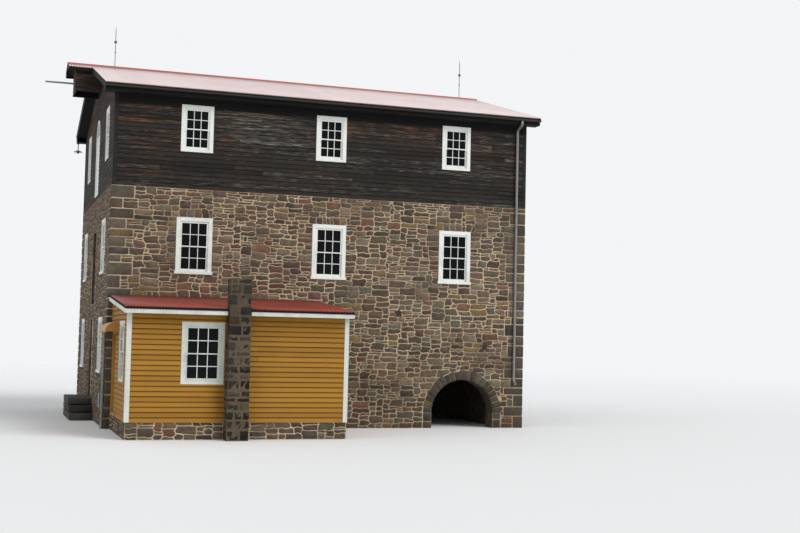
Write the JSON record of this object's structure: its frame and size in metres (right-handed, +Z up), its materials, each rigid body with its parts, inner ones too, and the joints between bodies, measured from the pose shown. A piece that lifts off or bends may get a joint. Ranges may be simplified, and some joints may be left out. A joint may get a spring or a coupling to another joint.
{
  "type": "watermill",
  "caption": "Stone watermill with a boarded top storey, a hoist hood on the gable, arched race passages and a clapboarded lean-to annex with a stone chimney.",
  "frame": {"origin": "middle of the underside of the front wall", "axes": "+X east along the front wall, +Y from the front wall to the rear wall, +Z up"},
  "size_m": [14.65, 14.55, 12.524],
  "materials": {
    "wall_stone": "rubble with wide pale mortar joints",
    "arch_stone": "dressed wedge stones, rough faced",
    "step_stone": "worn grey slabs",
    "chimney_stone": "irregular dark stones in rough mortar",
    "dark_boards": "upright boards, weathered nearly black",
    "trim_boards": "grey weathered boards",
    "frame_timber": "sawn timber",
    "floor_boards": "worn floor boards",
    "roof_sheet": "corrugated sheet, faded pale pink",
    "ridge_sheet": "red folded sheet",
    "annex_roof_sheet": "corrugated sheet, brick red",
    "white_paint": "white gloss paint",
    "red_brown_paint": "dull red-brown paint on boards",
    "yellow_boards": "ochre painted clapboards",
    "yellow_paint": "ochre paint on boards",
    "window_glass": "clear panes over dark rooms",
    "gutter_metal": "dark paint",
    "downspout_metal": "dark brown paint",
    "iron": "rusted black iron",
    "lamp_enamel": "dull grey enamel"
  },
  "bodies": {
    "mill": {"annex_base": "step_stone", "annex_chimney": "chimney_stone", "annex_door_frame": "white_paint", "annex_door_hood": "yellow_paint", "annex_east_wall": "yellow_boards", "annex_floor": "floor_boards", "annex_front_wall": "yellow_boards", "annex_roof": "annex_roof_sheet", "annex_roof_boards": "white_paint", "annex_wall_over_door": "yellow_boards", "annex_west_wall": "yellow_boards", "annex_windows": "white_paint", "arched_door": "white_paint", "bargeboards": "trim_boards", "collar_ties": "frame_timber", "corner_boards": "trim_boards", "corner_pipe": "gutter_metal", "downspouts": "downspout_metal", "east_wall": "wall_stone", "east_windows": "white_paint", "eave_boards": "trim_boards", "eave_lamp": "lamp_enamel", "entrance_steps": "step_stone", "front_race_arch": "arch_stone", "front_wall_lower": "wall_stone", "front_wall_upper": "wall_stone", "front_windows": "white_paint", "gable_door_frame": "white_paint", "gable_door_sill": "step_stone", "ground_floor": "floor_boards", "gutters": "gutter_metal", "hoist_hood": "trim_boards", "hoist_pole": "frame_timber", "lightning_rods": "iron", "loading_door": "red_brown_paint", "rafters": "frame_timber", "rear_race_arch": "arch_stone", "rear_wall_lower": "wall_stone", "rear_wall_upper": "wall_stone", "rear_windows": "white_paint", "ridge_board": "frame_timber", "ridge_cap": "ridge_sheet", "roof_front_slope": "roof_sheet", "roof_rear_slope": "roof_sheet", "second_floor": "floor_boards", "third_floor": "floor_boards", "timber_gable_east": "dark_boards", "timber_gable_west": "dark_boards", "timber_wall_front": "dark_boards", "timber_wall_rear": "dark_boards", "wall_anchors": "iron", "west_wall_north": "wall_stone", "west_wall_south": "wall_stone", "west_wall_upper": "wall_stone", "west_windows": "white_paint", "window_glass": "window_glass"},
    "gable_door": {"gable_door": "red_brown_paint"},
    "annex_door": {"annex_door": "yellow_paint"}
  },
  "joints": [
    {"name": "gable_door_hinge", "type": "hinge", "parent": "mill", "child": "gable_door", "pos_m": [-6.101, 5.1825, 1.6], "axis": [0, 0, 1], "range_deg": [0, 100]},
    {"name": "annex_door_hinge", "type": "hinge", "parent": "mill", "child": "annex_door", "pos_m": [-6.021, -0.3675, 1.6], "axis": [0, 0, 1], "range_deg": [0, 90]}
  ]
}
